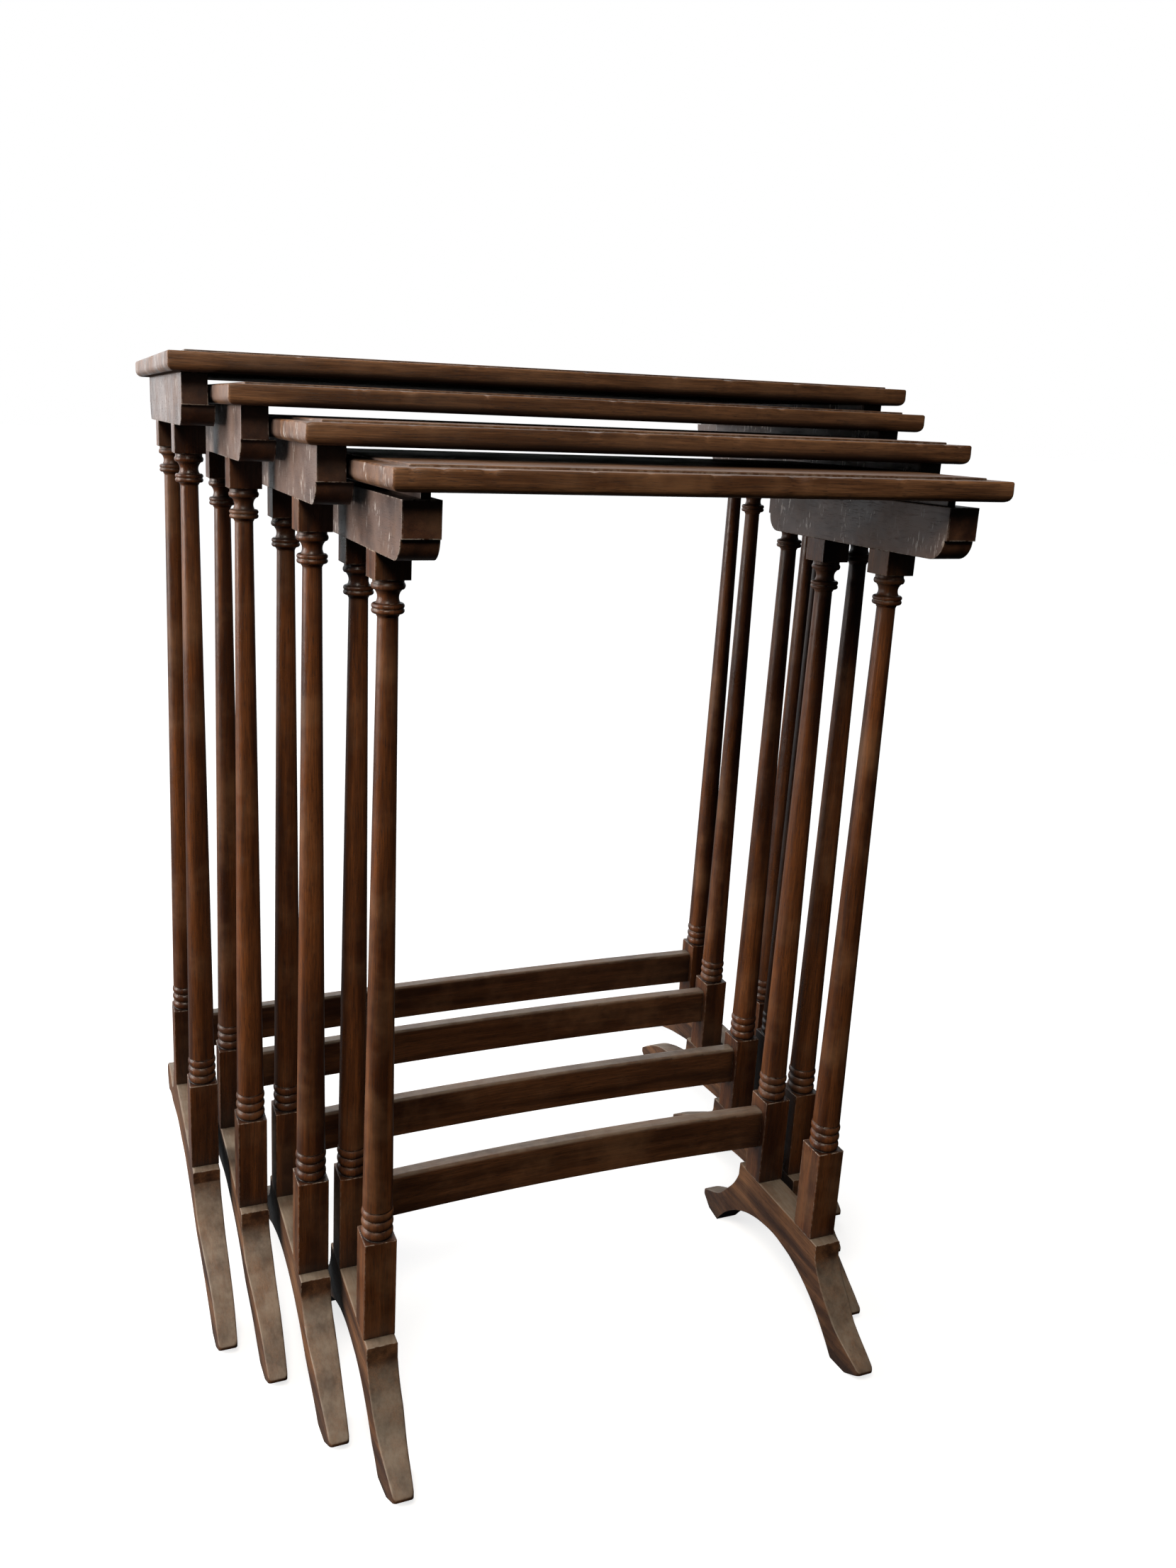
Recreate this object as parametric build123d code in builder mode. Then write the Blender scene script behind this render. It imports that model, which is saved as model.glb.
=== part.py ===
from build123d import *
import os
from math import cos, radians, sin, sqrt

# A nest of four side tables. Millimetres. +X runs along the tops, +Y to the back,
# +Z up. The feet stand on z = 0 and the origin is under the middle of the whole nest.

# ---------------------------------------------------------------- driving dimensions
table_names = ["first", "second", "third", "fourth"]  # largest to smallest
pulled_out = [0.0, 62.0, 87.0, 75.0]  # how far each stands out of the one before it

# Tops
first_top_length = 562.0
first_top_depth = 293.0
first_edge_height = 705.0  # floor to the upper arris of the first top's edge
height_step = 19.5  # from one top down to the next
depth_step = 19.0  # each table is this much shallower than the one before it
edge_thickness = 12.5
edge_lower_radius = 5.0
edge_upper_radius = 1.3
field_rise = 1.4  # the field stands proud of the moulded border
border_width = 12.0
field_arris_radius = 0.6

# How one table runs inside the next
top_side_overhang = 10.0  # top's end beyond the outer face of its bearer
top_front_overhang = 17.0  # top's front beyond the end of its bearer
web_thickness = 17.0  # upper part of a bearer
ledge_width = 5.0  # runner on which the next top slides
runner_side_clearance = 2.0
runner_top_clearance = 0.8

# Bearers under the ends of each top
bearer_height = 34.0
fourth_bearer_height = 33.0
fourth_neck_height = 4.5  # the smallest top stands off its bearers on a narrow neck
fourth_neck_width = 5.6
fourth_neck_inset = 4.2  # from the bearer's inner face
fourth_neck_setback = 8.0  # from the bearer's ends
bearer_end_face = 20.5  # height of the upright part of a bearer's end
bearer_end_step = 2.5
bearer_end_curve = 12.0  # run of the quarter-round under the step
bearer_arris_radius = 0.6

# Turned columns
leg_setback = 71.0  # top's front to the front of the square blocks
block_side = 21.5
block_arris_radius = 0.5
foot_height = 75.0  # floor to the underside of the lower block
lower_block_height = 72.0
cap_shoulder_drop = 66.3  # upper arris of the top down to the underside of the cap block
core_radius = 8.8
column_tenon_radius = 6.0
upper_tenon_length = 12.0
lower_tenon_length = 20.0
tenon_clearance = 0.1
tenon_end_gap = 0.5

ring_count = 3
ring_height = 7.0
ring_radius = 10.7
ring_root_radius = 9.0
shaft_foot_radius = 10.0
shaft_top_radius = 6.2
collar_radius = 10.1  # bead under the cap block
collar_root_radius = 9.3
collar_gap = 2.2
collar_height = 3.8
cavetto_top_radius = 8.7
cavetto_waist_radius = 6.4
cavetto_height = 8.2
astragal_radius = 9.7
astragal_root_radius = 7.4
astragal_groove_radius = 9.0
astragal_ring_height = 3.0
astragal_fillet_height = 2.2

# Sled feet
first_toe_reach = 129.0  # lower block's face to the tip of the toe
toe_reach_step = 20.8
foot_shoulder = 8.0
foot_shoulder_height = 9.0
foot_waist_height = 31.0  # where the sweep turns into the toe
foot_sweep_ease = 0.8  # slope at the waist, as a share of the sweep's mean slope
foot_sweep_start = (0.3, -1)  # direction in which the sweep leaves the shoulder
toe_length = 34.0
toe_nose_height = 9.0
toe_nose_radius = 2.0
toe_nose_angle = 55.0  # how far round the nose its arc runs, above and below the middle
toe_undercut = 14.0  # the nose slopes back this far on its way down to the pad
toe_pad_length = 30.0  # from the tip to the start of the arch
toe_tip_width = 14.0
toe_corner_radius = 3.5
foot_taper_start = 24.0  # where the toe starts to narrow, beyond the lower block
arch_height = 46.0

# Rear stretchers
stretcher_height = 31.5
stretcher_bottom = 106.0
stretcher_thickness = 12.0
stretcher_bow = 6.0
stretcher_edge_radius = 2.5
stretcher_tenon_length = 8.0
stretcher_tenon_thickness = 7.0
stretcher_tenon_height = 22.0

# Screws that hold the bearers to the tops
screw_length = 30.0
screw_bite = 8.5
screw_shank_radius = 1.75
screw_head_radius = 3.75
screw_head_height = 2.4
screw_slot_width = 0.9
screw_slot_depth = 1.1
screw_tip_height = 4.0
screw_hole_clearance = 0.1
screw_pocket_radius = 4.6
screw_beyond_leg = 27.0

# ---------------------------------------------------------------- derived sizes
bearer_width = web_thickness + ledge_width
side_pitch = top_side_overhang + web_thickness + runner_side_clearance

front_edges = [-sum(pulled_out[: i + 1]) for i in range(len(table_names))]
first_leg_spread = first_top_depth - 2 * leg_setback
front_most = min(front_edges[-1], leg_setback - first_toe_reach)
back_most = leg_setback + first_leg_spread + first_toe_reach
y_shift = -(front_most + back_most) / 2

os.makedirs("parts", exist_ok=True)


def save(piece, label):
    piece.label = label
    export_step(piece, f"parts/{label}.step")


class Table:
    """Sizes and places of one table of the nest."""

    def __init__(self, index):
        self.name = table_names[index]
        self.smallest = index == len(table_names) - 1
        self.length = first_top_length - 2 * side_pitch * index
        self.depth = first_top_depth - depth_step * index
        self.front = front_edges[index] + y_shift
        self.centre_y = self.front + self.depth / 2
        self.edge_height = first_edge_height - height_step * index
        self.underside = self.edge_height - edge_thickness
        self.outer_x = self.length / 2 - top_side_overhang
        neck = fourth_neck_height if self.smallest else 0.0
        height = fourth_bearer_height if self.smallest else bearer_height
        self.bearer_top = self.underside - neck
        self.bearer_bottom = self.bearer_top - height
        self.bearer_half = self.depth / 2 - top_front_overhang
        self.spread_half = self.depth / 2 - leg_setback
        self.leg_y = self.spread_half - block_side / 2
        self.leg_x = self.outer_x - block_side / 2
        self.cap_bottom = self.edge_height - cap_shoulder_drop
        self.toe_reach = first_toe_reach - toe_reach_step * index
        self.screw_y = self.spread_half + screw_beyond_leg
        self.screw_seat = self.underside + screw_bite - screw_length
        neck_centre = bearer_width - fourth_neck_inset - fourth_neck_width / 2
        self.screw_inset = neck_centre if self.smallest else web_thickness / 2

    def screw_spots(self, side):
        x = side * (self.outer_x - self.screw_inset)
        return [(x, self.centre_y - self.screw_y), (x, self.centre_y + self.screw_y)]


# ---------------------------------------------------------------- tops
def make_top(table):
    """A moulded board with a raised field and pilot holes for the bearer screws."""
    with BuildPart() as top:
        with BuildSketch(Plane.XY.offset(table.underside)):
            with Locations((0, table.centre_y)):
                Rectangle(table.length, table.depth)
        extrude(amount=edge_thickness)
        fillet(top.faces().sort_by(Axis.Z)[0].edges(), edge_lower_radius)
        fillet(top.faces().sort_by(Axis.Z)[-1].edges(), edge_upper_radius)
        with BuildSketch(Plane.XY.offset(table.edge_height)):
            with Locations((0, table.centre_y)):
                Rectangle(table.length - 2 * border_width, table.depth - 2 * border_width)
        extrude(amount=field_rise)
        fillet(top.faces().sort_by(Axis.Z)[-1].edges(), field_arris_radius)
        with BuildSketch(Plane.XY.offset(table.underside)):
            with Locations(*table.screw_spots(-1), *table.screw_spots(1)):
                Circle(screw_shank_radius + screw_hole_clearance)
        extrude(amount=screw_bite + tenon_end_gap, mode=Mode.SUBTRACT)
    save(top.part, f"{table.name}_top")


# ---------------------------------------------------------------- bearers
def bearer_outline(half, low, high):
    """Side view of a bearer: an upright end, a small step, then a quarter-round."""
    step_z = high - bearer_end_face
    step_y = half - bearer_end_step
    foot_y = step_y - bearer_end_curve
    with BuildLine() as outline:
        Polyline((0, low), (foot_y, low))
        EllipticalCenterArc(
            (foot_y, step_z), bearer_end_curve, step_z - low, start_angle=-90, arc_size=90
        )
        Polyline((step_y, step_z), (half, step_z), (half, high), (0, high))
        mirror(about=Plane.YZ)
    return outline.line


def make_bearer(table, side, word):
    """The rail under one end of a top. All but the last carry a ledge for the next top."""
    x_inner = side * (table.outer_x - bearer_width)
    inner_plane = Plane((x_inner, table.centre_y, 0), x_dir=(0, 1, 0), z_dir=(1, 0, 0))
    ledge_z = table.underside - height_step - runner_top_clearance
    outline = bearer_outline(table.bearer_half, table.bearer_bottom, table.bearer_top)
    with BuildPart() as bearer:
        with BuildSketch(inner_plane):
            add(outline)
            make_face()
        extrude(amount=side * bearer_width)
        fillet(bearer.edges().filter_by(Axis.Z), bearer_arris_radius)
        if table.smallest:
            x_neck = side * (table.outer_x - table.screw_inset)
            with BuildSketch(Plane.XY.offset(table.bearer_top)):
                with Locations((x_neck, table.centre_y)):
                    Rectangle(fourth_neck_width, 2 * (table.bearer_half - fourth_neck_setback))
            extrude(amount=fourth_neck_height)
        else:
            with BuildSketch(Plane.XY.offset(ledge_z)):
                with Locations((x_inner + side * ledge_width / 2, table.centre_y)):
                    Rectangle(ledge_width, table.depth)
            extrude(amount=table.underside - ledge_z, mode=Mode.SUBTRACT)
        with BuildSketch(Plane.XY.offset(table.bearer_bottom)):
            with Locations((side * table.leg_x, table.centre_y)):
                with Locations((0, -table.leg_y), (0, table.leg_y)):
                    Circle(column_tenon_radius + tenon_clearance)
        extrude(amount=upper_tenon_length + tenon_end_gap, mode=Mode.SUBTRACT)
        with BuildSketch(Plane.XY.offset(table.bearer_bottom)):
            with Locations(*table.screw_spots(side)):
                Circle(screw_pocket_radius)
        extrude(amount=table.screw_seat - table.bearer_bottom, mode=Mode.SUBTRACT)
        with BuildSketch(Plane.XY.offset(table.screw_seat)):
            with Locations(*table.screw_spots(side)):
                Circle(screw_shank_radius + screw_hole_clearance)
        extrude(amount=table.underside - table.screw_seat, mode=Mode.SUBTRACT)
    save(bearer.part, f"{table.name}_{word}_bearer")


# ---------------------------------------------------------------- columns
def turned_outline(cap_bottom, bearer_bottom):
    """Half section of a column, with radius across and height up."""
    lower_top = foot_height + lower_block_height
    shaft_low = lower_top + ring_count * ring_height
    collar_top = cap_bottom - collar_gap
    collar_low = collar_top - collar_height
    cavetto_low = collar_low - cavetto_height
    groove = cavetto_low - astragal_ring_height
    astragal_low = groove - astragal_ring_height
    shaft_high = astragal_low - astragal_fillet_height
    foot_tip = foot_height - lower_tenon_length
    upper_tip = bearer_bottom + upper_tenon_length
    with BuildLine() as outline:
        Polyline((0, foot_tip), (column_tenon_radius, foot_tip), (column_tenon_radius, foot_height))
        Polyline(
            (column_tenon_radius, foot_height),
            (core_radius, foot_height),
            (core_radius, lower_top),
            (ring_root_radius, lower_top),
        )
        for ring in range(ring_count):
            low = lower_top + ring * ring_height
            high = low + ring_height
            middle = low + ring_height / 2
            ThreePointArc((ring_root_radius, low), (ring_radius, middle), (ring_root_radius, high))
        Polyline(
            (ring_root_radius, shaft_low),
            (shaft_foot_radius, shaft_low),
            (shaft_top_radius, shaft_high),
            (astragal_root_radius, astragal_low),
        )
        ThreePointArc(
            (astragal_root_radius, astragal_low),
            (astragal_radius, groove - astragal_ring_height / 3),
            (astragal_groove_radius, groove),
        )
        ThreePointArc(
            (astragal_groove_radius, groove),
            (astragal_radius, groove + astragal_ring_height / 3),
            (astragal_root_radius, cavetto_low),
        )
        ThreePointArc(
            (astragal_root_radius, cavetto_low),
            (cavetto_waist_radius, cavetto_low + cavetto_height / 3),
            (cavetto_top_radius, collar_low),
        )
        Line((cavetto_top_radius, collar_low), (collar_root_radius, collar_low))
        ThreePointArc(
            (collar_root_radius, collar_low),
            (collar_radius, (collar_low + collar_top) / 2),
            (collar_root_radius, collar_top),
        )
        Polyline(
            (collar_root_radius, collar_top),
            (collar_root_radius, cap_bottom),
            (core_radius, cap_bottom),
            (core_radius, bearer_bottom),
            (column_tenon_radius, bearer_bottom),
            (column_tenon_radius, upper_tip),
            (0, upper_tip),
            (0, foot_tip),
        )
    return outline.line


def make_column(table, side, end, label):
    """A square blank, turned between its two blocks, with a round tenon at each end."""
    x = side * table.leg_x
    y = table.centre_y + end * table.leg_y
    inner_x = x - side * block_side / 2
    inner_plane = Plane((inner_x, y, stretcher_bottom), x_dir=(0, 1, 0), z_dir=(1, 0, 0))
    outline = turned_outline(table.cap_bottom, table.bearer_bottom)
    with BuildPart() as column:
        for low, high in (
            (foot_height, foot_height + lower_block_height),
            (table.cap_bottom, table.bearer_bottom),
        ):
            with BuildSketch(Plane((x, y, low))):
                Rectangle(block_side, block_side)
            extrude(amount=high - low)
        fillet(column.edges().filter_by(Axis.Z), block_arris_radius)
        with BuildSketch(Plane((x, y, 0), x_dir=(1, 0, 0), z_dir=(0, -1, 0))):
            add(outline)
            make_face()
        revolve(axis=Axis((x, y, 0), (0, 0, 1)))
        if end > 0:
            with BuildSketch(inner_plane):
                with Locations((0, stretcher_height / 2)):
                    Rectangle(
                        stretcher_tenon_thickness + 2 * tenon_clearance,
                        stretcher_tenon_height + 2 * tenon_clearance,
                    )
            extrude(amount=side * (stretcher_tenon_length + tenon_end_gap), mode=Mode.SUBTRACT)
    save(column.part, label)


# ---------------------------------------------------------------- feet
def foot_side_view(spread_half, reach):
    """Side view of a sled foot: shoulder, sweep, toe with an undercut nose, arched underside."""
    shoulder = spread_half + foot_shoulder
    tip = spread_half + reach
    waist = tip - toe_length
    drop_z = foot_height - foot_shoulder_height
    arch_end = tip - toe_pad_length
    arch_radius = (arch_end**2 + arch_height**2) / (2 * arch_height)
    arch_middle = arch_end / 2
    arch_middle_z = arch_height - arch_radius + sqrt(arch_radius**2 - arch_middle**2)
    sweep_slope = (waist - shoulder, -foot_sweep_ease * (drop_z - foot_waist_height))
    toe_start = (waist, foot_waist_height)
    nose_centre = (tip - toe_nose_radius, toe_nose_height)
    across = toe_nose_radius * cos(radians(toe_nose_angle))
    up = toe_nose_radius * sin(radians(toe_nose_angle))
    nose_top = (nose_centre[0] + across, toe_nose_height + up)
    nose_low = (nose_centre[0] + across, toe_nose_height - up)
    with BuildLine() as outline:
        Polyline((0, foot_height), (shoulder, foot_height), (shoulder, drop_z))
        Spline((shoulder, drop_z), toe_start, tangents=(foot_sweep_start, sweep_slope))
        Spline(toe_start, nose_top, tangents=(sweep_slope, (up, -across)))
        CenterArc(nose_centre, toe_nose_radius, toe_nose_angle, -2 * toe_nose_angle)
        Polyline(nose_low, (tip - toe_undercut, 0), (arch_end, 0))
        ThreePointArc((arch_end, 0), (arch_middle, arch_middle_z), (0, arch_height))
        mirror(about=Plane.YZ)
    return outline.line


def make_foot(table, side, word):
    """One sled foot, cut from its side view and narrowed in plan towards both toes."""
    x = side * table.leg_x
    tip = table.spread_half + table.toe_reach
    taper = table.spread_half + foot_taper_start
    outline = foot_side_view(table.spread_half, table.toe_reach)
    side_plane = Plane((x - block_side / 2, table.centre_y, 0), x_dir=(0, 1, 0), z_dir=(1, 0, 0))
    with BuildPart() as foot:
        with BuildSketch(side_plane):
            add(outline)
            make_face()
        extrude(amount=block_side)
        with BuildSketch(Plane((x, table.centre_y, 0))) as plan:
            with BuildLine():
                Polyline(
                    (0, tip),
                    (toe_tip_width / 2, tip),
                    (block_side / 2, taper),
                    (block_side / 2, 0),
                )
                mirror(about=Plane.XZ)
                mirror(about=Plane.YZ)
            make_face()
            fillet(plan.vertices().group_by(Axis.Y)[0], toe_corner_radius)
            fillet(plan.vertices().group_by(Axis.Y)[-1], toe_corner_radius)
        extrude(amount=foot_height, mode=Mode.INTERSECT)
        with BuildSketch(Plane((x, table.centre_y, foot_height))):
            with Locations((0, -table.leg_y), (0, table.leg_y)):
                Circle(column_tenon_radius + tenon_clearance)
        extrude(amount=-(lower_tenon_length + tenon_end_gap), mode=Mode.SUBTRACT)
    save(foot.part, f"{table.name}_{word}_foot")


# ---------------------------------------------------------------- stretchers
def make_stretcher(table):
    """A rail between the two rear blocks, bowed back in plan, with stub tenons."""
    half = table.outer_x - block_side
    front = table.leg_y - stretcher_thickness / 2
    back = front + stretcher_thickness
    with BuildPart() as stretcher:
        with BuildSketch(Plane((0, table.centre_y, stretcher_bottom))):
            with BuildLine():
                ThreePointArc((-half, front), (0, front + stretcher_bow), (half, front))
                Line((half, front), (half, back))
                ThreePointArc((half, back), (0, back + stretcher_bow), (-half, back))
                Line((-half, back), (-half, front))
            make_face()
        extrude(amount=stretcher_height)
        upper_face = stretcher.faces().sort_by(Axis.Z)[-1]
        fillet(upper_face.edges().sort_by(SortBy.LENGTH)[-2:], stretcher_edge_radius)
        for side in (-1, 1):
            end_plane = Plane(
                (side * half, table.centre_y + table.leg_y, stretcher_bottom),
                x_dir=(0, 1, 0),
                z_dir=(1, 0, 0),
            )
            with BuildSketch(end_plane):
                with Locations((0, stretcher_height / 2)):
                    Rectangle(stretcher_tenon_thickness, stretcher_tenon_height)
            extrude(amount=side * stretcher_tenon_length)
    save(stretcher.part, f"{table.name}_stretcher")


# ---------------------------------------------------------------- screws
def make_screws(table):
    """Slotted countersunk screws, driven up through the bearers into the top."""
    tip = table.screw_seat + screw_length
    with BuildPart() as screws:
        for x, y in table.screw_spots(-1) + table.screw_spots(1):
            with BuildSketch(Plane((x, y, 0), x_dir=(1, 0, 0), z_dir=(0, -1, 0))):
                with BuildLine():
                    Polyline(
                        (0, table.screw_seat - screw_head_height),
                        (screw_head_radius, table.screw_seat - screw_head_height),
                        (screw_shank_radius, table.screw_seat),
                        (screw_shank_radius, tip - screw_tip_height),
                        (0, tip),
                        close=True,
                    )
                make_face()
            revolve(axis=Axis((x, y, 0), (0, 0, 1)))
        with BuildSketch(Plane.XY.offset(table.screw_seat - screw_head_height)):
            with Locations(*table.screw_spots(-1), *table.screw_spots(1)):
                Rectangle(2 * screw_head_radius, screw_slot_width)
        extrude(amount=screw_slot_depth, mode=Mode.SUBTRACT)
    save(screws.part, f"{table.name}_screws")


# ---------------------------------------------------------------- the nest
sides = ((-1, "left"), (1, "right"))
ends = ((-1, "front"), (1, "back"))

for index in range(len(table_names)):
    table = Table(index)
    make_top(table)
    make_stretcher(table)
    make_screws(table)
    for side, side_word in sides:
        make_bearer(table, side, side_word)
        make_foot(table, side, side_word)
        for end, end_word in ends:
            make_column(table, side, end, f"{table.name}_{end_word}_{side_word}_column")
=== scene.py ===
from math import cos, radians, sin
from random import Random

import bpy
from mathutils import Matrix, Vector, noise
from mathutils.bvhtree import BVHTree


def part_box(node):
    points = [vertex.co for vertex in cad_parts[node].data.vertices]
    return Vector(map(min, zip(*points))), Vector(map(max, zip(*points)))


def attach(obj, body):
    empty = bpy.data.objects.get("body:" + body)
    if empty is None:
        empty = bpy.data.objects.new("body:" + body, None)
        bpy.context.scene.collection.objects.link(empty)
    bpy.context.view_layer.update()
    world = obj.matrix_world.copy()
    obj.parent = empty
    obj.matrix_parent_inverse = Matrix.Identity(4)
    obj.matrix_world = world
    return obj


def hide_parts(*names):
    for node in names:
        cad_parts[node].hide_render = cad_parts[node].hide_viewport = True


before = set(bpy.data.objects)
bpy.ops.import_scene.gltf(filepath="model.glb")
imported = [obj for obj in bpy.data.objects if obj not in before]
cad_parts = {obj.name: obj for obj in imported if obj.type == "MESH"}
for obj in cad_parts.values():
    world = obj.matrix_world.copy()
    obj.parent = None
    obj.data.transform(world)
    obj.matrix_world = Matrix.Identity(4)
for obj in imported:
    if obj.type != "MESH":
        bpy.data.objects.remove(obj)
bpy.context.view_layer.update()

# A nest of four mahogany tables, drawn out in steps. Metres, in the row frame:
# +X along the tops, +Y towards the rear stretchers, +Z up, floor at z = 0.

TABLES = ["first", "second", "third", "fourth"]
SIDES = ["left", "right"]

# ---------------------------------------------------------------- camera
CAMERA_PLACE = (-0.353, -0.8798, 0.674)
CAMERA_YAW = 20.50  # degrees from +Y towards +X
CAMERA_PITCH = -13.84
CAMERA_ROLL = 2.33
SENSOR = 36.0
LENS = 27.87
SHIFT = (0.0555, -0.0450)


def make_camera():
    yaw, pitch, roll = (radians(a) for a in (CAMERA_YAW, CAMERA_PITCH, CAMERA_ROLL))
    forward = Vector((sin(yaw) * cos(pitch), cos(yaw) * cos(pitch), sin(pitch)))
    level = Vector((cos(yaw), -sin(yaw), 0.0))
    upright = level.cross(forward)
    right = cos(roll) * level + sin(roll) * upright
    up = cos(roll) * upright - sin(roll) * level
    data = bpy.data.cameras.new("camera")
    data.sensor_fit = "AUTO"
    data.sensor_width = SENSOR
    data.lens = LENS
    data.shift_x, data.shift_y = SHIFT
    camera = bpy.data.objects.new("camera", data)
    turn = Matrix((right, up, -forward)).transposed().to_4x4()
    camera.matrix_world = Matrix.Translation(CAMERA_PLACE) @ turn
    bpy.context.scene.collection.objects.link(camera)
    bpy.context.scene.camera = camera


# ---------------------------------------------------------------- node helper
class Nodes:
    """Builds a node tree: each call adds one node and returns one of its outputs."""

    def __init__(self, tree):
        self.tree = tree
        tree.nodes.clear()

    def connect(self, value, socket):
        """Link a socket to another, or set a constant on it."""
        if isinstance(value, bpy.types.NodeSocket):
            self.tree.links.new(value, socket)
        else:
            socket.default_value = value

    def add(self, kind, inputs=None, output=0, **settings):
        node = self.tree.nodes.new(kind)
        for key, value in settings.items():
            setattr(node, key, value)
        for key, value in (inputs or {}).items():
            self.connect(value, node.inputs[key])
        return node.outputs[output] if node.outputs else node

    def math(self, operation, a, b=0.0, clamp=False):
        return self.add("ShaderNodeMath", {0: a, 1: b}, operation=operation, use_clamp=clamp)

    def vector(self, operation, a, b, output="Vector"):
        return self.add("ShaderNodeVectorMath", {0: a, 1: b}, output, operation=operation)

    def split(self, vector):
        """The X, Y and Z of a vector."""
        return self.add("ShaderNodeSeparateXYZ", {0: vector}).node.outputs

    def step(self, value, low, high, to_low=0.0, to_high=1.0):
        """A smooth step of value from low to high."""
        inputs = {"Value": value, "From Min": low, "From Max": high}
        inputs.update({"To Min": to_low, "To Max": to_high})
        return self.add("ShaderNodeMapRange", inputs, interpolation_type="SMOOTHSTEP")

    def noise(self, where, scale=1.0, detail=3.0, roughness=0.55):
        """Noise of about scale bumps per metre; stretched coordinates keep scale 1."""
        inputs = {"Vector": where, "Scale": scale, "Detail": detail, "Roughness": roughness}
        return self.add("ShaderNodeTexNoise", inputs)

    def mix(self, share, a, b):
        """Colour a, giving way to colour b by share."""
        node = self.tree.nodes.new("ShaderNodeMix")
        node.data_type = "RGBA"
        node.clamp_factor = True
        factor, first_colour, second_colour = (node.inputs[i] for i in (0, 6, 7))
        self.connect(share, factor)
        self.connect(a, first_colour)
        self.connect(b, second_colour)
        return node.outputs[2]


def new_material(name):
    """An empty node material and the helper that fills it."""
    material = bpy.data.materials.new(name)
    material.use_nodes = True
    return material, Nodes(material.node_tree)


def colour(red, green, blue):
    return (red, green, blue, 1.0)


# ---------------------------------------------------------------- wood
GRAIN = {"x": Vector((1, 0, 0)), "y": Vector((0, 1, 0)), "z": Vector((0, 0, 1))}

# Bumps per metre, along and across the grain.
RIBBON = (5.0, 95.0)
FIBRE = (38.0, 1300.0)
PORES = (130.0, 2400.0)
DUST_STREAKS = (60.0, 420.0)

# Bumps per metre along X, Y and Z, so that scratches stand upright.
SCRATCHES = (260.0, 420.0, 95.0)

# Bumps per metre of what doesn't follow the grain.
WANDER_SCALE = 9.0
BLOTCH_SCALE = 22.0
RAGGED_SCALE = 260.0
PATCH_SCALE = 55.0
SHEEN_SCALE = 16.0
DRIFT_SCALE = 48.0
DENT_SCALE = 60.0
DARK_BLOTCH_SCALE = 14.0
RUST_SCALE = 900.0

GRAIN_WANDER = (0.004, 0.004, 0.004)
ARRIS_REACH = 0.0014  # how far wear, with its painted highlight, reaches from an arris
OPEN_REACH = 0.012  # an arris with something nearer than this isn't rubbed
PORE_DEPTH = 0.00025
DENT_DEPTH = 0.0012

DARK_FIBRE = colour(0.03, 0.014, 0.009)
PORE_BLACK = colour(0.012, 0.006, 0.004)
AMBER = colour(0.34, 0.17, 0.075)
# near-black painted shade for corners and under overhangs
PAINTED_SHADE = colour(0.008, 0.006, 0.006)
PAINTED_SHEEN = colour(0.36, 0.25, 0.21)  # painted sheen, greyed like dulled polish
SCRATCH = colour(0.80, 0.72, 0.66)
# pale dust, also painted light from above on faces that face up
DUST_AND_TOPLIGHT = colour(0.37, 0.30, 0.225)
# worn bare wood on the arrises, made pale enough to paint their highlights too
WORN_AND_HIGHLIT_WOOD = colour(0.60, 0.47, 0.37)
PALE_WORN_AND_HIGHLIT_WOOD = colour(0.78, 0.66, 0.56)
RAW_DARK = colour(0.040, 0.024, 0.016)
RAW_PALE = colour(0.085, 0.050, 0.030)
DARK_BLOTCH = colour(0.022, 0.017, 0.014)
STEEL = colour(0.33, 0.32, 0.31)
RUST = colour(0.11, 0.05, 0.025)

PLAIN_DEEP = colour(0.060, 0.022, 0.009)
PLAIN_MID = colour(0.185, 0.075, 0.030)
# Painted light and shade: the tops' tones are lighter than the columns' and bearers', the
# bearers' darkest, for the light on the tops and the shade under them.
LIT_TOP_DEEP = colour(0.11, 0.046, 0.019)
LIT_TOP_MID = colour(0.36, 0.175, 0.080)
SHADED_BEARER_DEEP = colour(0.036, 0.014, 0.008)
SHADED_BEARER_MID = colour(0.105, 0.042, 0.020)
SHADED_COLUMN_DEEP = colour(0.060, 0.019, 0.007)
SHADED_COLUMN_MID = colour(0.235, 0.078, 0.023)
FOOT_MID = colour(0.27, 0.118, 0.048)

# How each kind of piece is cut, how it has aged and how much light or shade is painted into its
# tone; the rest is aged_wood's default.
WOODS = {
    "top": dict(grain="x", deep=LIT_TOP_DEEP, mid=LIT_TOP_MID, scratches=0.8),
    "bearer": dict(
        grain="y", deep=SHADED_BEARER_DEEP, mid=SHADED_BEARER_MID, worn=PALE_WORN_AND_HIGHLIT_WOOD, wear=1.4, scratches=0.62
    ),
    "column": dict(grain="z", deep=SHADED_COLUMN_DEEP, mid=SHADED_COLUMN_MID, rough=0.32),
    "stretcher": dict(grain="x", deep=PLAIN_DEEP, mid=PLAIN_MID, dust_and_light=0.55),
    "foot": dict(
        grain="y", deep=PLAIN_DEEP, mid=FOOT_MID, dust_and_light=0.85, rough=0.5, shade_reach=0.030
    ),
}


def stretched(nodes, where, grain, along, across):
    """Coordinates drawn out along the grain."""
    scale = Vector((across, across, across)) + GRAIN[grain] * (along - across)
    return nodes.vector("MULTIPLY", where, scale)


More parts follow.
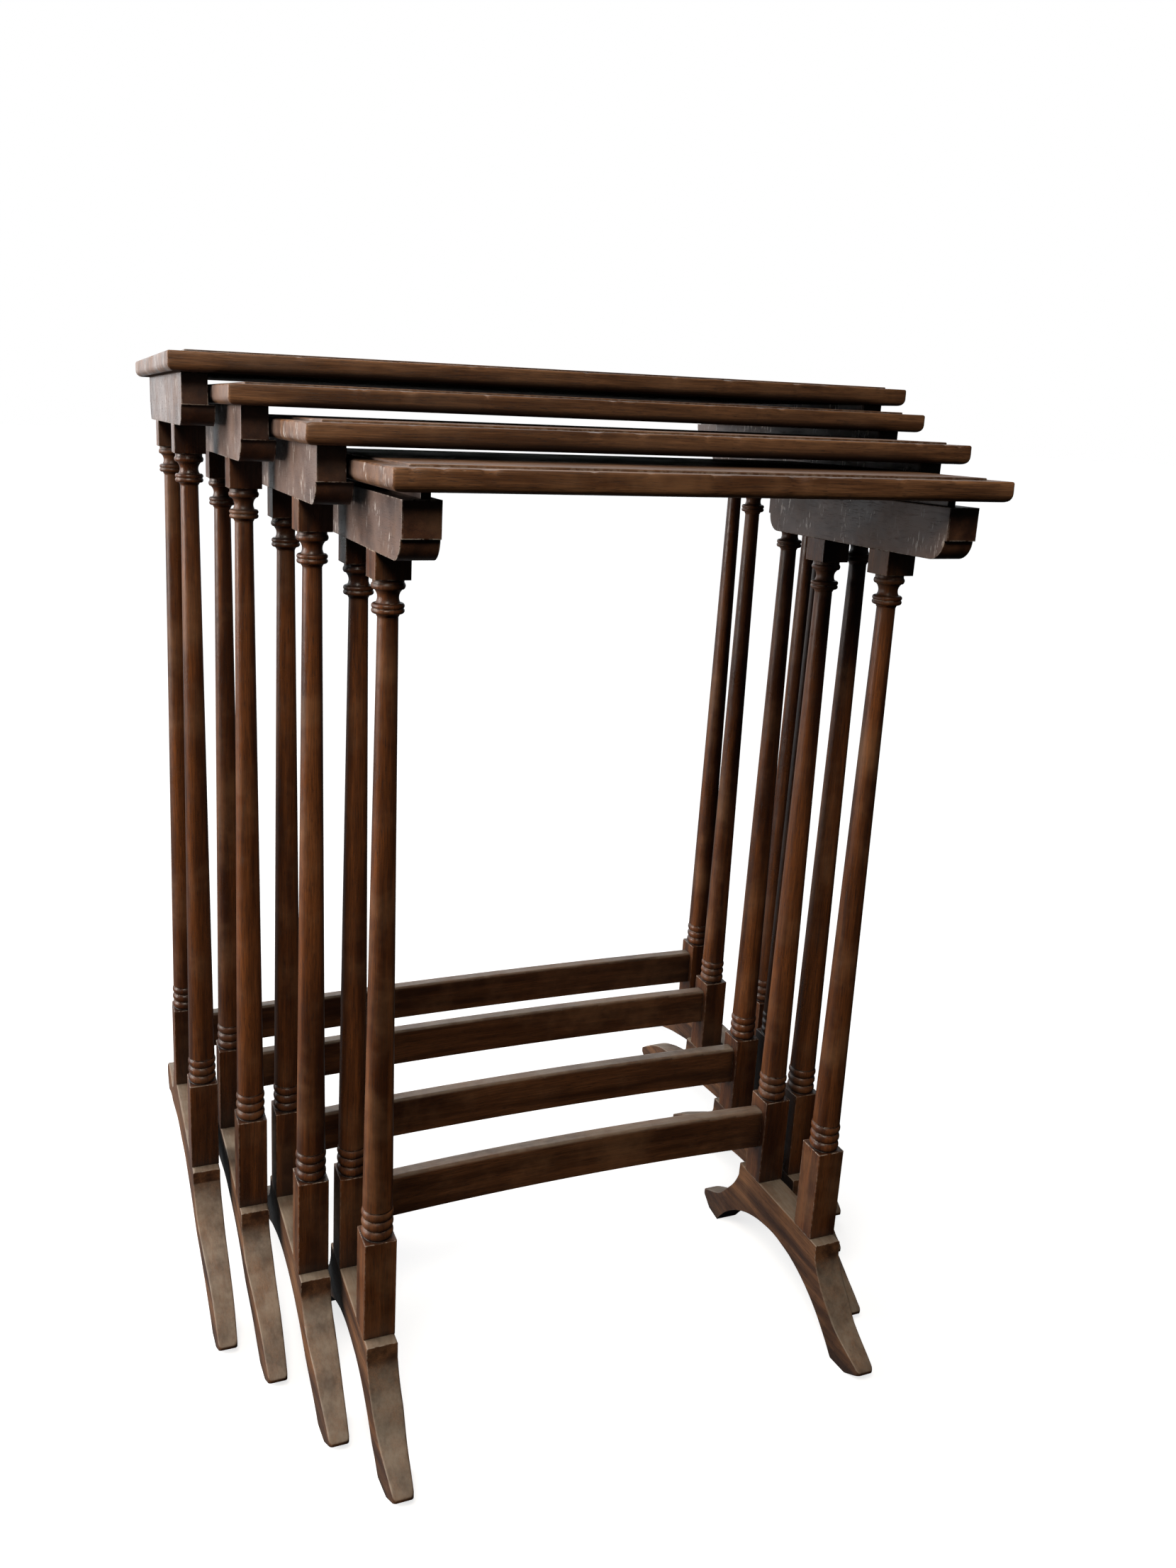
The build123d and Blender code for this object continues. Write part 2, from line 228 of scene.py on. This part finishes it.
def polished_figure(nodes, where, grain, deep, mid):
    """Mahogany's ribbon, fibre, pores and blotches: the colour, then the last three fields."""
    warp = nodes.noise(where, WANDER_SCALE, 2.0)
    bent = nodes.vector("ADD", where, nodes.vector("MULTIPLY", warp, GRAIN_WANDER))
    ribbon = nodes.noise(stretched(nodes, bent, grain, *RIBBON), 1.0, 4.0, 0.6)
    fibre = nodes.noise(stretched(nodes, bent, grain, *FIBRE), 1.0, 2.0, 0.5)
    pore_field = nodes.noise(stretched(nodes, bent, grain, *PORES), 1.0, 1.0, 0.4)
    pores = nodes.step(pore_field, 0.60, 0.70)
    blotch = nodes.noise(where, BLOTCH_SCALE, 4.0, 0.6)

    base = nodes.mix(nodes.step(ribbon, 0.34, 0.68), deep, mid)
    base = nodes.mix(nodes.step(fibre, 0.35, 0.65, 0.0, 0.45), base, DARK_FIBRE)
    base = nodes.mix(nodes.math("MULTIPLY", pores, 0.55), base, PORE_BLACK)
    base = nodes.mix(nodes.step(blotch, 0.45, 0.75, 0.0, 0.35), base, AMBER)
    return base, fibre, pores, blotch


def rubbed_and_highlit_arrises(nodes, base, where, normal, soft_normal, wear, worn):
    """Bare wood, made pale enough to paint the arris highlight too, where the rounded normal
    leaves the plain one, broken up by noise.
    """
    turn = nodes.vector("DOT_PRODUCT", normal, soft_normal, "Value")
    open_air = nodes.add("ShaderNodeAmbientOcclusion", {"Distance": OPEN_REACH}, "AO", samples=6)
    edge = nodes.step(turn, 0.992, 0.90)
    ragged = nodes.step(nodes.noise(where, RAGGED_SCALE, 3.0, 0.65), 0.40, 0.62)
    edge = nodes.math("MULTIPLY", edge, nodes.step(open_air, 0.42, 0.62))
    edge = nodes.math("MULTIPLY", edge, ragged)
    edge = nodes.math("MULTIPLY", edge, wear, clamp=True)
    return nodes.mix(edge, base, worn)


def painted_corner_shade(nodes, base, reach):
    """Painted shade where the surface is closed in, as under the tops' overhang."""
    open_air = nodes.add("ShaderNodeAmbientOcclusion", {"Distance": reach}, "AO", samples=6)
    return nodes.mix(nodes.step(open_air, 0.30, 0.97, 0.90, 0.0), base, PAINTED_SHADE)


def scratches_and_painted_sheen(nodes, base, where, across, scratches):
    """Painted sheen and upright scratches on what faces left or right."""
    sideways = nodes.math("ABSOLUTE", across)
    streaks = nodes.vector("MULTIPLY", where, SCRATCHES)
    marks = nodes.step(nodes.noise(streaks, 1.0, 3.0, 0.62), 0.555, 0.60)
    patches = nodes.step(nodes.noise(where, PATCH_SCALE, 2.0), 0.50, 0.64)
    marks = nodes.math("MULTIPLY", marks, patches)
    marks = nodes.math("MULTIPLY", marks, nodes.step(sideways, 0.75, 0.95, 0.0, scratches))
    # painted sheen of the window's reflection, only on faces that face left or right
    sheen = nodes.step(nodes.noise(where, SHEEN_SCALE, 3.0), 0.32, 0.66, 0.12, 0.62)
    sheen = nodes.math("MULTIPLY", sheen, nodes.step(sideways, 0.75, 0.95))
    base = nodes.mix(sheen, base, PAINTED_SHEEN)
    return nodes.mix(marks, base, SCRATCH)


def dust_and_painted_toplight(nodes, base, where, grain, up, dust_and_light):
    """Dust on what faces up, in drifts and streaks, made pale enough to paint the light from
    above on it too.
    """
    dusty_and_lit = nodes.step(up, 0.05, 0.75, 0.0, dust_and_light)
    drifts = nodes.step(nodes.noise(where, DRIFT_SCALE, 4.0, 0.62), 0.28, 0.66, 0.45, 1.0)
    streaks = nodes.noise(stretched(nodes, where, grain, *DUST_STREAKS))
    streaks = nodes.step(streaks, 0.3, 0.7, 0.7, 1.0)
    dusty_and_lit = nodes.math("MULTIPLY", dusty_and_lit, nodes.math("MULTIPLY", drifts, streaks))
    return nodes.mix(dusty_and_lit, base, DUST_AND_TOPLIGHT)


def wood_relief(nodes, where, fibre, pores, soft_normal):
    """Fibre, pores and shallow dents, over the rounded normal."""
    height = nodes.math("SUBTRACT", nodes.math("MULTIPLY", fibre, 0.35), pores)
    figure = {"Height": height, "Strength": 0.28, "Distance": PORE_DEPTH, "Normal": soft_normal}
    bump = nodes.add("ShaderNodeBump", figure)
    dented = nodes.noise(where, DENT_SCALE, 3.0)
    dents = {"Height": dented, "Strength": 0.30, "Distance": DENT_DEPTH, "Normal": bump}
    return nodes.add("ShaderNodeBump", dents)


def aged_wood(name, offset, grain, deep, mid, worn=WORN_AND_HIGHLIT_WOOD, wear=1.0, dust_and_light=0.0,
              scratches=0.0, rough=0.36, shade_reach=0.085):
    """Old polished mahogany: ribbon figure, pores, worn arrises with a painted highlight, painted
    shade in the corners.
    """
    material, nodes = new_material(name)
    where = nodes.vector("ADD", nodes.add("ShaderNodeTexCoord", output="Object"), offset)
    base, fibre, pores, blotch = polished_figure(nodes, where, grain, deep, mid)

    normal = nodes.add("ShaderNodeNewGeometry", output="Normal")
    soft_normal = nodes.add("ShaderNodeBevel", {"Radius": ARRIS_REACH}, samples=8)
    # worn arrises: bare wood with a painted highlight
    base = rubbed_and_highlit_arrises(nodes, base, where, normal, soft_normal, wear, worn)
    base = painted_corner_shade(nodes, base, shade_reach)
    across, _, up = nodes.split(normal)
    # the scratches bring the painted sheen on the side faces with them
    if scratches:
        base = scratches_and_painted_sheen(nodes, base, where, across, scratches)
    if dust_and_light:
        base = dust_and_painted_toplight(nodes, base, where, grain, up, dust_and_light)

    dull = nodes.step(blotch, 0.3, 0.7, rough - 0.07, rough + 0.13)
    dull = nodes.math("ADD", dull, nodes.math("MULTIPLY", pores, 0.2))
    surface = nodes.add(
        "ShaderNodeBsdfPrincipled",
        {
            "Base Color": base,
            "Roughness": dull,
            "Normal": wood_relief(nodes, where, fibre, pores, soft_normal),
            "IOR": 1.45,
            "Specular IOR Level": 0.5,
        },
    )
    nodes.add("ShaderNodeOutputMaterial", {"Surface": surface})
    return material


def raw_underside(name, offset):
    """The unpolished underside of a top: dark, with darker blotches."""
    material, nodes = new_material(name)
    where = nodes.vector("ADD", nodes.add("ShaderNodeTexCoord", output="Object"), offset)
    fibre = nodes.noise(stretched(nodes, where, "x", *FIBRE), 1.0, 2.0, 0.5)
    blotch = nodes.noise(where, DARK_BLOTCH_SCALE, 3.0, 0.6)
    tint = nodes.mix(fibre, RAW_DARK, RAW_PALE)
    tint = nodes.mix(nodes.step(blotch, 0.40, 0.70, 0.0, 0.6), tint, DARK_BLOTCH)
    bump = nodes.add("ShaderNodeBump", {"Height": fibre, "Strength": 0.4, "Distance": 0.0003})
    surface = nodes.add(
        "ShaderNodeBsdfPrincipled",
        {"Base Color": tint, "Roughness": 0.9, "Normal": bump, "Specular IOR Level": 0.05},
    )
    nodes.add("ShaderNodeOutputMaterial", {"Surface": surface})
    return material


def old_steel():
    """Screw steel with specks of rust."""
    material, nodes = new_material("old_steel")
    where = nodes.add("ShaderNodeTexCoord", output="Object")
    rust = nodes.step(nodes.noise(where, RUST_SCALE, 4.0, 0.7), 0.42, 0.66)
    tint = nodes.mix(rust, STEEL, RUST)
    rough = nodes.step(rust, 0.0, 1.0, 0.38, 0.85)
    surface = nodes.add(
        "ShaderNodeBsdfPrincipled", {"Base Color": tint, "Roughness": rough, "Metallic": 0.9}
    )
    nodes.add("ShaderNodeOutputMaterial", {"Surface": surface})
    return material


# ---------------------------------------------------------------- mesh helpers
def new_piece(name, points, faces, sharp_angle=35.0):
    """A smooth-shaded mesh object whose flat faces stay flat."""
    mesh = bpy.data.meshes.new(name)
    mesh.from_pydata(points, [], faces)
    mesh.validate()
    for face in mesh.polygons:
        face.use_smooth = True
    mesh.set_sharp_from_angle(angle=radians(sharp_angle))
    piece = bpy.data.objects.new(name, mesh)
    bpy.context.scene.collection.objects.link(piece)
    weighted = piece.modifiers.new("weighted", "WEIGHTED_NORMAL")
    weighted.keep_sharp = True
    return piece


def skin(rings):
    """Quads between closed rings of equal length, with an n-gon on each end."""
    count = len(rings[0])
    points = [point for ring in rings for point in ring]
    faces = []
    for low in range(len(rings) - 1):
        for i in range(count):
            j = (i + 1) % count
            base = low * count
            faces.append((base + i, base + j, base + count + j, base + count + i))
    faces.append(tuple(reversed(range(count))))
    last = (len(rings) - 1) * count
    faces.append(tuple(range(last, last + count)))
    return points, faces


def arc(centre, radius, start, end, steps):
    """Points of an arc, angles in degrees."""
    points = []
    for i in range(steps + 1):
        angle = radians(start + (end - start) * i / steps)
        points.append((centre[0] + radius * cos(angle), centre[1] + radius * sin(angle)))
    return points


# ---------------------------------------------------------------- tops
EDGE_THICKNESS = 0.0125
LOWER_RADIUS = 0.005
UPPER_RADIUS = 0.0014
BORDER = 0.012
FIELD_RADIUS = 0.0006
UNDERSIDE_SLACK = 0.0003  # a face lower than this is part of the underside
CORNER_RADIUS = 0.0022  # in plan, from handling
LEAST_RADIUS = 0.0002
CORNER_STEPS = 5
STATION = 0.0028  # spacing of the sections round a top
UNDERSIDE_INSETS = (0.030, 0.012)
FIELD_INSETS = (BORDER + 0.004, BORDER + 0.030)

CHIPS = 34  # small losses along one top's upper arris
CHIP_SEED = 40  # the first top's; each next one adds 1
CHIP_HALF_WIDTH = (0.0015, 0.006)
CHIP_DEPTH = (0.0002, 0.0009)
BIG_CHIP_TABLE = "fourth"  # a larger loss, on its front edge right of the middle
BIG_CHIP_PLACE = 0.045
BIG_CHIP = (0.0065, 0.0016)  # half width, depth

EDGE_HOLLOW = 0.0005  # how far wear may hollow the edge
LOWER_WEAR = 0.3  # share of the wear that each stretch of the edge takes
FACE_WEAR = 0.45
UPPER_WEAR = 1.0
RIM_WEAR = 0.5
CHIP_DROP = 0.8  # how far a chip goes down for each metre that it goes in
GNAW_START = 0.10  # noise below this leaves the edge whole
HOLLOWS = (90.0, 500.0, 7.3)  # noise steps per metre round and up the edge, and per table
BROAD_HOLLOWS = 0.35
FINE_HOLLOWS = 2.1
FINE_SHIFT = Vector((31.7, 0.0, 0.0))


def edge_profile(low, edge, field):
    """(inset, height, wear) from the underside, round the moulded edge, to the field."""
    points = [(inset, low, 0.0) for inset in UNDERSIDE_INSETS]
    for inset, z in arc((LOWER_RADIUS, low + LOWER_RADIUS), LOWER_RADIUS, 270, 180, 6):
        points.append((inset, z, LOWER_WEAR))
    face_top = edge - UPPER_RADIUS
    face_low = low + LOWER_RADIUS
    for share in (0.35, 0.7):
        points.append((0.0, face_low + share * (face_top - face_low), FACE_WEAR))
    for inset, z in arc((UPPER_RADIUS, face_top), UPPER_RADIUS, 180, 90, 4):
        points.append((inset, z, UPPER_WEAR))
    points.append((UPPER_RADIUS + 0.0012, edge, RIM_WEAR))
    points.append((0.5 * BORDER, edge, 0.0))
    points.append((BORDER - 0.0008, edge, 0.0))
    points.append((BORDER, edge, 0.0))
    for inset, z in arc((BORDER + FIELD_RADIUS, field - FIELD_RADIUS), FIELD_RADIUS, 180, 90, 3):
        points.append((inset, z, 0.0))
    points += [(inset, field, 0.0) for inset in FIELD_INSETS]
    return points


def outline_stations(half_x, half_y):
    """Places round a rounded rectangle: (corner signs, angle, share along the side, run)."""
    stations = []
    run = 0.0
    corners = [(1, -1, 270), (1, 1, 0), (-1, 1, 90), (-1, -1, 180)]
    for k, (sign_x, sign_y, start) in enumerate(corners):
        for i in range(CORNER_STEPS + 1):
            stations.append((sign_x, sign_y, start + 90 * i / CORNER_STEPS, 0.0, run))
            run += CORNER_RADIUS * radians(90) / CORNER_STEPS
        side = 2 * (half_y if k % 2 == 0 else half_x)
        count = max(2, round(side / STATION))
        for i in range(1, count):
            stations.append((sign_x, sign_y, start + 90, i / count, run + side * i / count))
        run += side
    return stations


def outline_point(station, half_x, half_y, inset):
    """The point of the rounded rectangle at one station, moved inward by inset."""
    sign_x, sign_y, angle, share, _ = station
    radius = max(CORNER_RADIUS - inset, LEAST_RADIUS)
    x = sign_x * (half_x - inset - radius) + radius * cos(radians(angle))
    y = sign_y * (half_y - inset - radius) + radius * sin(radians(angle))
    if share:
        if sign_x == sign_y:
            x -= sign_x * share * 2 * (half_x - inset - radius)
        else:
            y -= sign_y * share * 2 * (half_y - inset - radius)
    return x, y


def draw_chips(index, around, front_middle):
    """(place round the edge, half width, depth) of each chip of one top."""
    dice = Random(CHIP_SEED + index)
    chips = []
    for _ in range(CHIPS):
        place = dice.uniform(0, around)
        half_width = dice.uniform(*CHIP_HALF_WIDTH)
        depth = dice.uniform(*CHIP_DEPTH)
        chips.append((place, half_width, depth))
    if TABLES[index] == BIG_CHIP_TABLE:
        chips.append((front_middle + BIG_CHIP_PLACE, *BIG_CHIP))
    return chips


def chip_depth(chips, run):
    deepest = 0.0
    for middle, half_width, depth in chips:
        away = abs(run - middle) / half_width
        if away < 1.0:
            deepest = max(deepest, depth * (1.0 - away * away))
    return deepest


def edge_wear(index, run, z, loss):
    """How far a fully worn point of the edge has gone in."""
    place = Vector((run * HOLLOWS[0], z * HOLLOWS[1], index * HOLLOWS[2]))
    ripple = 0.5 + 0.5 * noise.noise(place * BROAD_HOLLOWS)
    gnaw = max(0.0, noise.noise(place * FINE_HOLLOWS + FINE_SHIFT) - GNAW_START)
    return EDGE_HOLLOW * 0.5 * ripple + EDGE_HOLLOW * gnaw + loss


def make_top(index, table, wood, raw):
    """A moulded top with a worn, chipped upper arris and a rough underside."""
    low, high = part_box(f"{table}_top")
    half_x = (high[0] - low[0]) / 2
    half_y = (high[1] - low[1]) / 2
    centre_y = (high[1] + low[1]) / 2
    middle_z = low[2] + EDGE_THICKNESS / 2
    profile = edge_profile(low[2], low[2] + EDGE_THICKNESS, high[2])
    stations = outline_stations(half_x, half_y)
    around = stations[-1][4]
    chips = draw_chips(index, around, around - half_x)
    rings = [[] for _ in profile]
    for station in stations:
        run = station[4]
        loss = chip_depth(chips, run)
        for ring, (inset, z, wear) in zip(rings, profile):
            inward = wear * edge_wear(index, run, z, loss)
            x, y = outline_point(station, half_x, half_y, inset + inward)
            down = CHIP_DROP * loss * wear if z > middle_z else 0.0
            ring.append((x, centre_y + y, z - down))
    points, faces = skin(rings)
    piece = new_piece(f"{table}_top_board", points, faces)
    piece.data.materials.append(wood)
    piece.data.materials.append(raw)
    under = low[2] + UNDERSIDE_SLACK
    for face in piece.data.polygons:
        if max(piece.data.vertices[i].co.z for i in face.vertices) < under:
            face.material_index = 1
    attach(piece, f"{table}_table")
    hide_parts(f"{table}_top")


# ---------------------------------------------------------------- feet
FOOT_SHOULDER = 0.008
CAST_INSET = 0.0082  # from a foot's middle plane, clear of the tenon sockets
ARRIS_RADIUS = 0.0009
ARRIS_WEAR = 0.0016
LOWER_ARRIS = 0.6  # share of that rounding on the two arrises below
MOST_ROUND = 0.45  # an arris takes no more than this share of the section
FOOT_WEAR = 0.0004  # how far the upper face and the flanks have gone
RUB_SCALE = 55.0
RUB_DETAIL = 4.3
ARRIS_SHIFT = 9.1  # each arris has its own line through the noise
SAG_SCALE = 30.0
THIN_SHIFT = Vector((0.0, 0.0, 8.8))
FOOT_SHARP_ANGLE = 50.0
SIDE_STEPS = 3
ARC_STEPS = 3

# How far in from a tip, and then from a shoulder, the close sections stand.
TOE_GAPS = (0.0002, 0.0006, 0.0012, 0.002, 0.003, 0.0042, 0.0056, 0.0074)
SHOULDER_GAPS = (-0.0004, 0.0, 0.0004, 0.0011, 0.0025)
SWEEP_STATION = 0.0022
INNER_STATION = 0.006


def foot_stations(tip, shoulder):
    """Distances from a foot's middle: close at the toe and at the shoulder."""
    places = [tip - gap for gap in TOE_GAPS]
    outer = tip - TOE_GAPS[-1]
    reach = outer - shoulder
    count = round(reach / SWEEP_STATION)
    places += [outer - reach * i / count for i in range(1, count)]
    places += [shoulder - gap for gap in SHOULDER_GAPS]
    inner = shoulder - SHOULDER_GAPS[-1]
    count = round(inner / INNER_STATION)
    places += [inner * (1 - i / count) for i in range(1, count)]
    return places


def foot_section(middle_x, y, half, low, high, radii):
    """A rounded rectangle in the plane across the foot, anticlockwise from below."""
    corners = [(-1, -1, 180), (1, -1, 270), (1, 1, 0), (-1, 1, 90)]
    arcs = []
    for (sign_x, sign_z, start), radius in zip(corners, radii):
        radius = min(radius, MOST_ROUND * half, MOST_ROUND * (high - low))
        across = sign_x * (half - radius)
        up = (high - radius) if sign_z > 0 else (low + radius)
        arcs.append(arc((across, up), radius, start, start + 90, ARC_STEPS))
    points = []
    for k, corner in enumerate(arcs):
        points += corner
        start, end = Vector(corner[-1]), Vector(arcs[(k + 1) % 4][0])
        points += [start.lerp(end, i / SIDE_STEPS) for i in range(1, SIDE_STEPS)]
    return [(middle_x + across, y, up) for across, up in points]


def arris_radii(run, shift):
    """The four radii of one section: two below, rubbed less, then two above."""
    radii = []
    for corner in range(4):
        place = Vector((run * RUB_SCALE + shift, corner * ARRIS_SHIFT, 3.7))
        rough = max(0.0, noise.noise(place) + 0.4 * noise.noise(place * RUB_DETAIL))
        radius = ARRIS_RADIUS + ARRIS_WEAR * rough
        radii.append(radius if corner > 1 else LOWER_ARRIS * radius)
    return radii


def make_foot(index, table, side, wood):
    """A sled foot with rubbed arrises, lofted through sections of the CAD foot."""
    node = f"{table}_{side}_foot"
    low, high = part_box(node)
    column_low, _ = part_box(f"{table}_front_{side}_column")
    middle_x = (low[0] + high[0]) / 2
    middle_y = (low[1] + high[1]) / 2
    tip = (high[1] - low[1]) / 2
    shoulder = middle_y - (column_low[1] - FOOT_SHOULDER)
    tree = BVHTree.FromObject(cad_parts[node], bpy.context.evaluated_depsgraph_get())
    places = foot_stations(tip, shoulder)
    runs = [-p for p in places] + [0.0] + list(reversed(places))
    shift = 13.0 * index + (5.0 if side == "right" else 0.0)  # its own place in the noise
    rings = []
    for run in runs:
        y = middle_y + run
        near_toe = abs(run) > shoulder
        cast_x = middle_x if near_toe else middle_x + CAST_INSET
        top = tree.ray_cast(Vector((cast_x, y, 1.0)), Vector((0, 0, -1)))[0]
        bottom = tree.ray_cast(Vector((cast_x, y, -1.0)), Vector((0, 0, 1)))[0]
        if top is None or bottom is None:
            continue
        mid_z = (top.z + bottom.z) / 2
        flank = tree.ray_cast(Vector((middle_x + 1.0, y, mid_z)), Vector((-1, 0, 0)))[0]
        if flank is None:
            continue
        half = flank.x - middle_x
        place = Vector((run * SAG_SCALE, shift, 0.0))
        sag = FOOT_WEAR * (0.5 + 0.5 * noise.noise(place)) if near_toe else 0.0
        thin = FOOT_WEAR * (0.5 + 0.5 * noise.noise(place + THIN_SHIFT))
        radii = arris_radii(run, shift)
        rings.append(foot_section(middle_x, y, half - thin, bottom.z, top.z - sag, radii))
    points, faces = skin(rings)
    faces = [tuple(reversed(face)) for face in faces]
    piece = new_piece(f"{node}_carved", points, faces, FOOT_SHARP_ANGLE)
    piece.data.materials.append(wood)
    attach(piece, f"{table}_table")
    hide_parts(node)


# ---------------------------------------------------------------- the nest
WOOD_OFFSET = Vector((0.37, 0.91, 0.53))  # each table's wood is cut this much further on


def dress(obj, material):
    obj.data.materials.clear()
    obj.data.materials.append(material)


def finish_table(index, table, steel):
    """One table: the top and feet as meshes of their own, the rest as dressed CAD pieces."""
    offset = WOOD_OFFSET * (index + 1)
    woods = {}
    for kind, look in WOODS.items():
        woods[kind] = aged_wood(f"{table}_{kind}_wood", offset, **look)
    make_top(index, table, woods["top"], raw_underside(f"{table}_underside_wood", offset))
    dress(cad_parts[f"{table}_stretcher"], woods["stretcher"])
    dress(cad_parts[f"{table}_screws"], steel)
    for side in SIDES:
        dress(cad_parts[f"{table}_{side}_bearer"], woods["bearer"])
        make_foot(index, table, side, woods["foot"])
        for end in ("front", "back"):
            dress(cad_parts[f"{table}_{end}_{side}_column"], woods["column"])


# ---------------------------------------------------------------- studio
FLOOR_HALF = 30.0
FLOOR_PAINT = colour(0.82, 0.82, 0.82)
FLOOR_GLOW = 0.74  # seen by the camera only, so that it lifts no shadow on the nest

WHITE = colour(1, 1, 1)
SKY = colour(0.93, 0.97, 1.0)
SKY_LEFT = -0.45  # how far the bright side leans towards -X
SKY_DIM = 0.030  # in front of the nest
SKY_BRIGHT = 1.55  # behind it

# Name, place, what it points at, size, power in watts and tint.
LAMPS = [
    ("window", (-2.4, 0.5, 1.0), (0.0, 0.0, 0.45), (1.2, 1.6), 50.0, (1.0, 0.93, 0.87)),
    ("ceiling", (-0.5, -0.95, 1.35), (0.0, -0.1, 0.3), (0.5, 0.4), 9.5, (1.0, 0.91, 0.80)),
]


def make_floor():
    """A plain pale floor that casts no light on the nest."""
    mesh = bpy.data.meshes.new("floor")
    corners = [(-1, -1), (1, -1), (1, 1), (-1, 1)]
    points = [(FLOOR_HALF * x, FLOOR_HALF * y, 0.0) for x, y in corners]
    mesh.from_pydata(points, [], [(0, 1, 2, 3)])
    floor = bpy.data.objects.new("floor", mesh)
    bpy.context.scene.collection.objects.link(floor)
    material, nodes = new_material("pale_floor")
    plain = nodes.add("ShaderNodeBsdfDiffuse", {"Color": FLOOR_PAINT})
    camera_ray = nodes.add("ShaderNodeLightPath", output="Is Camera Ray")
    strength = nodes.math("MULTIPLY", camera_ray, FLOOR_GLOW)
    glow = nodes.add("ShaderNodeEmission", {"Color": WHITE, "Strength": strength})
    both = nodes.add("ShaderNodeAddShader", {0: plain, 1: glow})
    nodes.add("ShaderNodeOutputMaterial", {"Surface": both})
    mesh.materials.append(material)
    floor.visible_diffuse = False
    floor.visible_glossy = False


def make_world():
    """Bright behind the nest, dim in front of it, and plain white to the camera."""
    world = bpy.data.worlds.new("studio")
    bpy.context.scene.world = world
    world.use_nodes = True
    nodes = Nodes(world.node_tree)
    right, back, up = nodes.split(nodes.add("ShaderNodeTexCoord", output="Generated"))
    toward = nodes.math("ADD", back, nodes.math("MULTIPLY", right, SKY_LEFT))
    light = nodes.step(toward, 0.10, 0.85, SKY_DIM, SKY_BRIGHT)
    height = nodes.step(up, -0.30, 0.15, 0.12, 1.0)
    light = nodes.math("MULTIPLY", light, height)
    camera_ray = nodes.add("ShaderNodeLightPath", output="Is Camera Ray")
    studio = nodes.add("ShaderNodeBackground", {"Color": SKY, "Strength": light})
    white = nodes.add("ShaderNodeBackground", {"Color": WHITE, "Strength": 1.0})
    mixed = nodes.add("ShaderNodeMixShader", {0: camera_ray, 1: studio, 2: white})
    nodes.add("ShaderNodeOutputWorld", {"Surface": mixed})


def make_lamp(name, place, target, size, power, tint):
    data = bpy.data.lights.new(name, "AREA")
    data.shape = "RECTANGLE"
    data.size, data.size_y = size
    data.energy = power
    data.color = tint
    lamp = bpy.data.objects.new(name, data)
    lamp.location = place
    lamp.rotation_euler = (Vector(target) - Vector(place)).to_track_quat("-Z", "Y").to_euler()
    bpy.context.scene.collection.objects.link(lamp)


def light_studio():
    make_world()
    for lamp in LAMPS:
        make_lamp(*lamp)
    view = bpy.context.scene.view_settings
    view.view_transform = "Standard"
    view.look = "None"


screw_steel = old_steel()
for index, table in enumerate(TABLES):
    finish_table(index, table, screw_steel)
make_floor()
light_studio()
make_camera()
